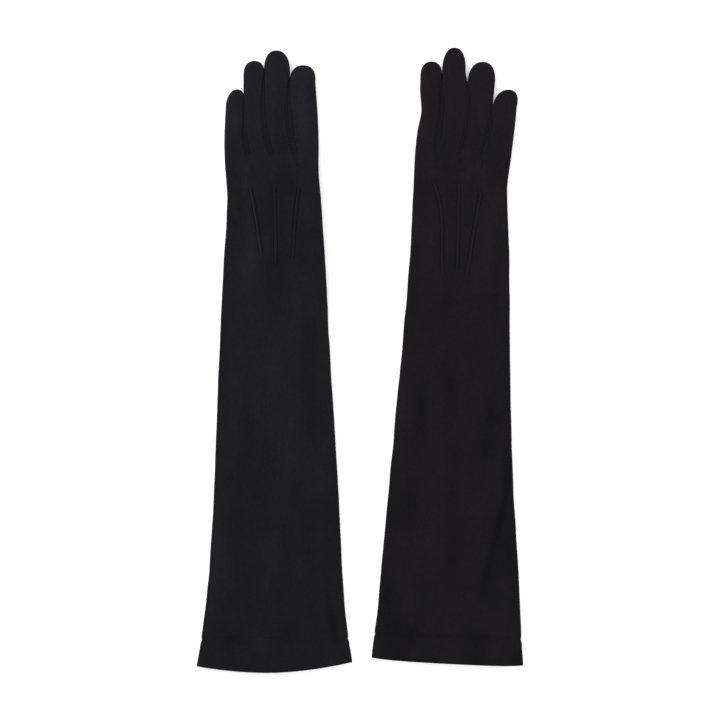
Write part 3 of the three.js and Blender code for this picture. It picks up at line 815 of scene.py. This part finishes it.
def make_finger(side, finger):
    """One finger: the faces that belong to the main skin, and the strips sewn in at its sides."""
    glove = GLOVES[side]
    name = FINGERS[finger]
    rows = finger_rows(glove, finger)
    start, _, _ = glove["tips"][finger]
    columns = 2 * FINGER_COLUMNS
    share = np.clip((rows - HAND_END) / (start + 3 - HAND_END), 0, 1)
    even = math.pi * SIDE_COLUMNS / FINGER_COLUMNS
    seam = mix(even, SEAM_ANGLE * (1 - 0.85 * share ** 4), step(HAND_END, HAND_END + 5, rows))
    points = finger_ring(glove, finger, rows, seam)
    strip_end = int(np.searchsorted(rows, start + 3))

    def strip_side(column):
        """-1 or 1 for the columns of the little-side or index-side strip, 0 for the faces."""
        if column < SIDE_COLUMNS or column >= columns - SIDE_COLUMNS:
            return -1
        if FINGER_COLUMNS - SIDE_COLUMNS <= column < FINGER_COLUMNS + SIDE_COLUMNS:
            return 1
        return 0

    has_strip = {s: 0 <= finger + s < len(FINGERS) for s in (-1, 1)}
    points, pressed = press_seams(points, rows, has_strip)
    upper = points[..., 2] > points[..., 2].mean(1, keepdims=True)
    inner = slit_shade(glove, finger, points)
    # painted shade: the suede is darkened along the pressed seams and near the slits
    tone = nap_and_painted_light(glove, points[..., 0], points[..., 1]) * upper - 1.1 * pressed - 1.1 * inner

    def on_faces(r, c):
        s = strip_side(c)
        return s == 0 or not has_strip[s] or r >= strip_end

    faces = grid_faces(len(rows), columns, keep=on_faces)
    cap = tuple((len(rows) - 1) * columns + c for c in range(columns))
    skin = make_mesh(f"{side}_{name}_finger_skin", side, points, faces + [cap], SUEDE[side], tone)
    finish_mesh(skin, LEATHER * 0.8)
    blend_at(skin, side, KNUCKLE, KNUCKLE_CREASE)
    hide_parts(f"{side}_{name}_finger")

    for s in (-1, 1):
        if not has_strip[s]:
            continue
        faces = grid_faces(len(rows), columns, keep=lambda r, c: strip_side(c) == s and r < strip_end)
        neighbour = FINGERS[finger + s]
        strip_name = f"{side}_{name}_side_strip_by_{neighbour}"
        piece = make_mesh(strip_name, side, points, faces, STRIP_SUEDE, tone)
        finish_mesh(piece, LEATHER * 0.8)
        blend_at(piece, side, KNUCKLE, KNUCKLE_CREASE)
        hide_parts(f"{side}_{name}_fourchette_by_{neighbour}")


def slit_shade(glove, finger, points):
    """How close each point lies to a slit, from 0 to 1: painted shade darkens the suede there."""
    v = points[..., 1]
    near, far = finger_edges(glove, finger, np.minimum(v, glove["tips"][finger][0]))
    total = np.zeros(v.shape)
    if finger > 0:
        total = total + 1 - step(0.2, 1.5, points[..., 0] - near)
    if finger < len(FINGERS) - 1:
        total = total + 1 - step(0.2, 1.5, far - points[..., 0])
    return np.clip(total, 0, 1) * step(HAND_END, HAND_END + 4, v)


def press_seams(points, rows, has_strip):
    """Draws the seam lines between faces and side strips a little inwards. Gives the points
    and how much each was pressed, from 0 to 1."""
    centre = points.mean(1)
    moved = points.copy()
    pressed = np.zeros(points.shape[:2])
    strength = step(HAND_END + 1, HAND_END + 8, rows)
    seams = {
        -1: (SIDE_COLUMNS, 2 * FINGER_COLUMNS - SIDE_COLUMNS),
        1: (FINGER_COLUMNS - SIDE_COLUMNS, FINGER_COLUMNS + SIDE_COLUMNS),
    }
    for s, columns in seams.items():
        for c in columns if has_strip[s] else ():
            inward = centre - points[:, c]
            inward[:, 1] = 0
            inward /= np.maximum(np.linalg.norm(inward, axis=1, keepdims=True), 1e-6)
            moved[:, c] += SEAM_PRESS * inward * strength[:, None]
            pressed[:, c] = strength
    return moved, pressed


def make_quirk(side, slit):
    """The small diamond sewn in at the crotch between two fingers."""
    glove = GLOVES[side]
    start = glove["slits"][slit][0][0]
    v = np.linspace(start - 6, min(start + 7, HAND_END), 15)
    share = (v - v[0]) / (v[-1] - v[0])
    half = 2.3 * np.sin(math.pi * np.clip(share, 0.04, 0.96)) ** 0.8
    across = np.linspace(-1, 1, 9)
    u = along(glove["slits"][slit], v)[:, None] + half[:, None] * across[None, :]
    rows = np.broadcast_to(v[:, None], u.shape)
    finger = np.where(across < 0, slit, slit + 1)
    z = np.zeros(u.shape)
    for k, f in enumerate(finger):
        near, far = finger_edges(glove, int(f), v)
        x = np.clip((2 * u[:, k] - near - far) / (far - near), -1, 1)
        angle = np.arccos(power(x, FINGER_ROUND / 2))
        _, z[:, k] = strip_point(glove, int(f), angle, v)
    sunk = 0.25 * np.abs(across)[None, :] + 0.1
    points = np.stack([u, rows, z - sunk], -1)
    name = f"{side}_{FINGERS[slit]}_{FINGERS[slit + 1]}_crotch_gusset"
    faces = grid_faces(len(v), len(across), closed=False)
    piece = make_mesh(name, side, points, faces, STRIP_SUEDE)
    finish_mesh(piece, 0.4)
    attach(piece, side + "_hand")
    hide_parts(f"{side}_{FINGERS[slit]}_{FINGERS[slit + 1]}_quirk")


# ---- points and stitches --------------------------------------------------------------------

def make_point(side, number):
    """A raised tuck on the back, with the pressed line of its stitching on both sides."""
    glove = GLOVES[side]
    tuck = glove["points"][number]
    length, _, _ = point_axes(tuck)
    t = np.linspace(-0.03, 1.03, 120)
    x = np.linspace(-3.6, 3.6, 37)
    u, v = beside_point(tuck, t[:, None], x[None, :] + point_wander(number, t)[:, None])
    strength = (step(-0.02, 0.10, t) * (1 - step(0.975, 1.01, t)))[:, None]
    swell = 1 + 0.1 * np.sin(t * length * 2 * math.pi / STITCH_PITCH)[:, None]
    crest = np.exp(-np.abs(x / 0.75) ** 2.2)[None, :] * swell
    pressed = np.exp(-((np.abs(x) - POINT_HALF) / 0.62) ** 2)[None, :]
    sink = -0.5 * step(2.6, 3.6, np.abs(x))[None, :]
    z = skin_height(glove, u, v) + strength * (POINT_CREST * crest - POINT_PRESS * pressed)
    z = z + sink + (strength - 1) * 0.4
    # painted shade: the sewn lines' furrows are darkened, and the crest a little to tone down its light
    tone = nap_and_painted_light(glove, u, v) + strength * (-0.15 * crest - 1.15 * pressed)
    points = np.stack([u, v, z], -1)
    owner = f"{side}_{FINGERS[number + 1]}"
    faces = grid_faces(len(t), len(x), closed=False)
    piece = make_mesh(owner + "_raised_point", side, points, faces, SUEDE[side], tone)
    finish_mesh(piece, 0.3)
    blend_at(piece, side, WRIST, WRIST_CREASE)
    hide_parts(owner + "_point")

    pitch = STITCH_PITCH / length
    stitch = 0.8 * pitch * np.array([0.1, 0.3, 0.5, 0.7, 0.9])
    arch = np.array([-0.14, 0.04, 0.08, 0.04, -0.14]) - 0.6
    paths = []
    for edge in (-POINT_HALF, POINT_HALF):
        for start in np.arange(0.05, 0.96, pitch):
            shares = start + stitch
            pu, pv = beside_point(tuck, shares, edge + point_wander(number, shares))
            paths.append(np.stack([pu, pv, skin_height(glove, pu, pv) + arch], -1))
    sewing = make_stitches(owner + "_point_stitches", side, paths, 0.18)
    blend_at(sewing, side, WRIST, WRIST_CREASE)


def rod(path, radius, sides):
    """Points and faces of a closed round rod. radius is one number, or one for each place."""
    turn = np.arange(sides) * 2 * math.pi / sides
    ahead = np.gradient(path, axis=0)
    ahead /= np.linalg.norm(ahead, axis=1, keepdims=True)
    right = np.cross(ahead, [0, 0, 1.0])
    right /= np.linalg.norm(right, axis=1, keepdims=True)
    lift = np.cross(right, ahead)
    spokes = np.cos(turn)[:, None] * right[:, None] + np.sin(turn)[:, None] * lift[:, None]
    points = path[:, None] + np.reshape(radius, (-1, 1, 1)) * spokes
    faces = grid_faces(len(path), sides)
    faces.append(tuple(reversed(range(sides))))
    last = (len(path) - 1) * sides
    faces.append(tuple(range(last, last + sides)))
    return points.reshape(-1, 3), faces


def make_tube(name, side, path, radius, material):
    points, faces = rod(path, radius, 8)
    piece = make_mesh(name, side, points, faces, material)
    shade(piece)
    return piece


def make_stitches(name, side, paths, radius):
    """Many short arched threads as one piece. Each path is a row of drawn points."""
    points, faces = [], []
    for path in paths:
        taper = np.sin(math.pi * np.linspace(0.12, 0.88, len(path))) ** 0.5
        new_points, new_faces = rod(path, radius * taper, 6)
        faces.extend(tuple(len(points) + corner for corner in face) for face in new_faces)
        points.extend(new_points)
    piece = make_mesh(name, side, points, faces, THREAD)
    shade(piece)
    return piece


# ---- seams ----------------------------------------------------------------------------------

def side_line(glove, v, inset):
    """A line just inside the little-finger edge, on the back: (u, z) at each v."""
    left, _ = edges(glove, v)
    u = left + inset
    return u, arm_z(glove, u, v, True)


def make_outseam(side):
    """The seam that closes the glove down its little-finger side: a fine welt with its thread."""
    glove = GLOVES[side]
    parts = [
        ("sleeve", 3.0, SLEEVE_END, "_sleeve", "_forearm", ELBOW, ELBOW_CREASE),
        ("hand", SLEEVE_END, HAND_END - 8, "_forearm", "_hand", WRIST, WRIST_CREASE),
    ]
    for part, low, high, body_a, body_b, bend, length in parts:
        v = spaced(low, high, 1.6)
        u, z = side_line(glove, v, OUTSEAM_INSET)
        path = np.stack([u, v + hem_bow(glove, u, v), z - 0.05], -1)
        welt = make_tube(f"{side}_{part}_outseam_welt", side, path, 0.5, SUEDE[side])
        blend_at(welt, side, bend, length)
        paths = []
        ahead = np.array([0.0, 0.35, 0.7, 1.05, 1.4])
        across = np.array([-0.75, -0.35, 0.0, 0.35, 0.75])
        arch = np.array([0.05, 0.3, 0.42, 0.3, 0.05])
        for start in np.arange(low + 1, high - 2, 2.6):
            vv = start + ahead
            uu, zz = side_line(glove, vv, OUTSEAM_INSET)
            paths.append(np.stack([uu + across, vv + hem_bow(glove, uu, vv), zz + arch], -1))
        sewing = make_stitches(f"{side}_{part}_outseam_stitches", side, paths, 0.15)
        blend_at(sewing, side, bend, length)


def make_hem_stitches(side):
    """The row of small stitches that holds the turned-in hem, on the back and on the palm."""
    glove = GLOVES[side]
    paths = []
    across = np.array([-0.65, -0.3, 0.0, 0.3, 0.65])
    v = np.full(len(across), HEM_DEPTH - 2.0)
    left, right = edges(glove, v)
    for upper in (True, False):
        arch = np.array([-0.15, 0.04, 0.08, 0.04, -0.15]) * (1 if upper else -1)
        for share in np.linspace(-0.93, 0.93, 60):
            u = (left + right) / 2 + share * (right - left) / 2 + across
            z = arm_z(glove, u, v, upper)
            paths.append(np.stack([u, v + hem_bow(glove, u, v), z + arch], -1))
    sewing = make_stitches(side + "_hem_stitches", side, paths, 0.13)
    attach(sewing, side + "_sleeve")


# ---- thumb ----------------------------------------------------------------------------------

def thumb_outline(distance):
    """Half width of the thumb at a distance from its pivot; its root is a half circle."""
    body = THUMB_ROOT - 2.6 * step(0, 34, distance) + 0.5 * step(30, 48, distance)
    start = THUMB_TIP - 17
    past = np.clip((distance - start) / (THUMB_TIP - start), 0, 1)
    closing = (1 - past ** 2.1) ** (1 / 2.1)
    back = np.clip(-distance / THUMB_ROOT, 0, 1)
    return body * closing * np.sqrt(1 - back ** 2)


def thumb_height(distance):
    return THUMB_HEIGHT * (1 - 0.42 * step(34, THUMB_TIP, distance))


def turn_about_pivot(points):
    """From the thumb's own drawing, along v from its pivot, to the glove's."""
    c, s = math.cos(THUMB_LEAN), math.sin(THUMB_LEAN)
    x, y = points[..., 0], points[..., 1]
    u = THUMB_PIVOT[0] + x * c - y * s
    v = THUMB_PIVOT[1] + x * s + y * c
    return np.stack([u, v, points[..., 2]], -1)


def make_thumb(side):
    glove = GLOVES[side]
    turn = np.linspace(-math.pi / 2, 0, 12)[:-1]
    root_rows = (THUMB_ROOT - 0.02) * np.sin(turn)
    tip_length = 15
    tip_start = THUMB_TIP - tip_length
    tip_rows = tip_start + tip_length * np.sin(np.linspace(0, math.pi / 2, 13)[1:]) * 0.9995
    rows = np.concatenate([root_rows, spaced(0, tip_start, 1.3), tip_rows])
    half = np.maximum(thumb_outline(rows), 0.05)
    angle = -np.linspace(-math.pi, math.pi, 41)[:-1]
    x, z = oval(angle, 2 / 2.6, 2 / 2.8, 2 / 3.2)
    fullness = np.minimum(1, (half / 9.0)) ** 0.55
    seed = glove["seed"] + 60
    u = x[None, :] * half[:, None]
    lie = 0.35 * np.abs(soft_noise(u, rows[:, None], 9, 7, seed)) * (1 - step(40, 60, rows))[:, None]
    below = z[None, :] < 0
    height = thumb_height(rows)[:, None] / 2 * (1 + z[None, :] * fullness[:, None] * 0.97)
    height = height + lie * np.where(below, 1, -1)
    along_thumb = np.broadcast_to(rows[:, None], u.shape)
    points = turn_about_pivot(np.stack([u, along_thumb, height], -1))
    columns = len(angle)
    faces = grid_faces(len(rows), columns)
    faces.append(tuple(reversed(range(columns))))
    faces.append(tuple((len(rows) - 1) * columns + c for c in range(columns)))
    skin = make_mesh(side + "_thumb_skin", side, points, faces, SUEDE[side])
    finish_mesh(skin)
    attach(skin, side + "_thumb")
    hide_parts(side + "_thumb")

    seam_rows = spaced(-6, THUMB_TIP - 4, 1.5)
    seam_half = thumb_outline(seam_rows)
    path = np.stack([seam_half + 0.05, seam_rows, thumb_height(seam_rows) * 0.5], -1)
    path = turn_about_pivot(path)
    welt = make_tube(side + "_thumb_seam_welt", side, path, 0.45, SUEDE[side])
    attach(welt, side + "_thumb")


def make_thumb_gusset(side):
    """The collar that the thumb is sewn to, round its hole in the palm."""
    glove = GLOVES[side]
    columns = 48
    turn = np.arange(columns) * 2 * math.pi / columns
    rings = []
    for radius, drop in ((14.6, -0.25), (14.0, 0.25), (13.2, 0.32), (12.4, 0.3), (11.8, -0.25)):
        u = THUMB_PIVOT[0] + radius * 0.82 * np.cos(turn)
        v = THUMB_PIVOT[1] + 4 + radius * 1.15 * np.sin(turn)
        z = arm_z(glove, u, v, False) - drop
        rings.append(np.stack([u, v, z], -1))
    faces = grid_faces(len(rings), columns)
    piece = make_mesh(side + "_thumb_collar", side, rings, faces, STRIP_SUEDE)
    piece.data.flip_normals()
    finish_mesh(piece, 0.3)
    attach(piece, side + "_hand")
    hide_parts(side + "_thumb_gusset")


# ---- stage, light and camera ----------------------------------------------------------------

def make_stage():
    """A white table top, just below the gloves."""
    mesh = bpy.data.meshes.new("floor")
    size = 4.0
    low = -0.0004
    corners = [(-size, -size, low), (size, -size, low), (size, size, low), (-size, size, low)]
    mesh.from_pydata(corners, [], [(0, 1, 2, 3)])
    floor = bpy.data.objects.new("floor", mesh)
    bpy.context.scene.collection.objects.link(floor)
    material, _, shader = new_material("pale_floor")
    shader.inputs["Base Color"].default_value = (0.9, 0.9, 0.9, 1)
    shader.inputs["Roughness"].default_value = 1.0
    shader.inputs["Specular IOR Level"].default_value = 0.0
    shader.inputs["Emission Color"].default_value = (1, 1, 1, 1)
    shader.inputs["Emission Strength"].default_value = 0.3
    mesh.materials.append(material)


def make_light(name, location, size, energy):
    """A square soft light that points at the middle of the pair."""
    data = bpy.data.lights.new(name, "AREA")
    data.shape = "SQUARE"
    data.size = size
    data.energy = energy
    light = bpy.data.objects.new(name, data)
    light.location = location
    light.rotation_euler = (-Vector(location)).to_track_quat("-Z", "Y").to_euler()
    bpy.context.scene.collection.objects.link(light)


def make_lights():
    world = bpy.data.worlds.new("studio")
    world.use_nodes = True
    background = world.node_tree.nodes["Background"]
    background.inputs["Color"].default_value = (1, 1, 1, 1)
    background.inputs["Strength"].default_value = 1.0
    bpy.context.scene.world = world
    make_light("softbox", (-1.6, 1.6, 1.7), 0.9, 40)
    make_light("fill", (1.6, -0.6, 1.8), 1.6, 8)


def make_camera():
    """A long lens high above the middle of the pair, looking straight down."""
    data = bpy.data.cameras.new("camera")
    data.sensor_width = 36.0
    distance = 6.0
    view_width = 0.6912  # metres across the picture at the table
    data.lens = distance * data.sensor_width / view_width
    data.clip_end = 50.0
    camera = bpy.data.objects.new("camera", data)
    low, high = cad_box
    camera.location = ((low[0] + high[0]) / 2, (low[1] + high[1]) / 2, distance)
    bpy.context.scene.collection.objects.link(camera)
    bpy.context.scene.camera = camera


# ---- build ----------------------------------------------------------------------------------

make_camera()
make_stage()
make_lights()
bpy.context.scene.view_settings.view_transform = "Standard"

for side in SIDES:
    make_sleeve(side)
    make_hand(side)
    for finger in range(len(FINGERS)):
        make_finger(side, finger)
    for slit in range(len(FINGERS) - 1):
        make_quirk(side, slit)
        make_point(side, slit)
    make_thumb(side)
    make_thumb_gusset(side)
    make_outseam(side)
    make_hem_stitches(side)
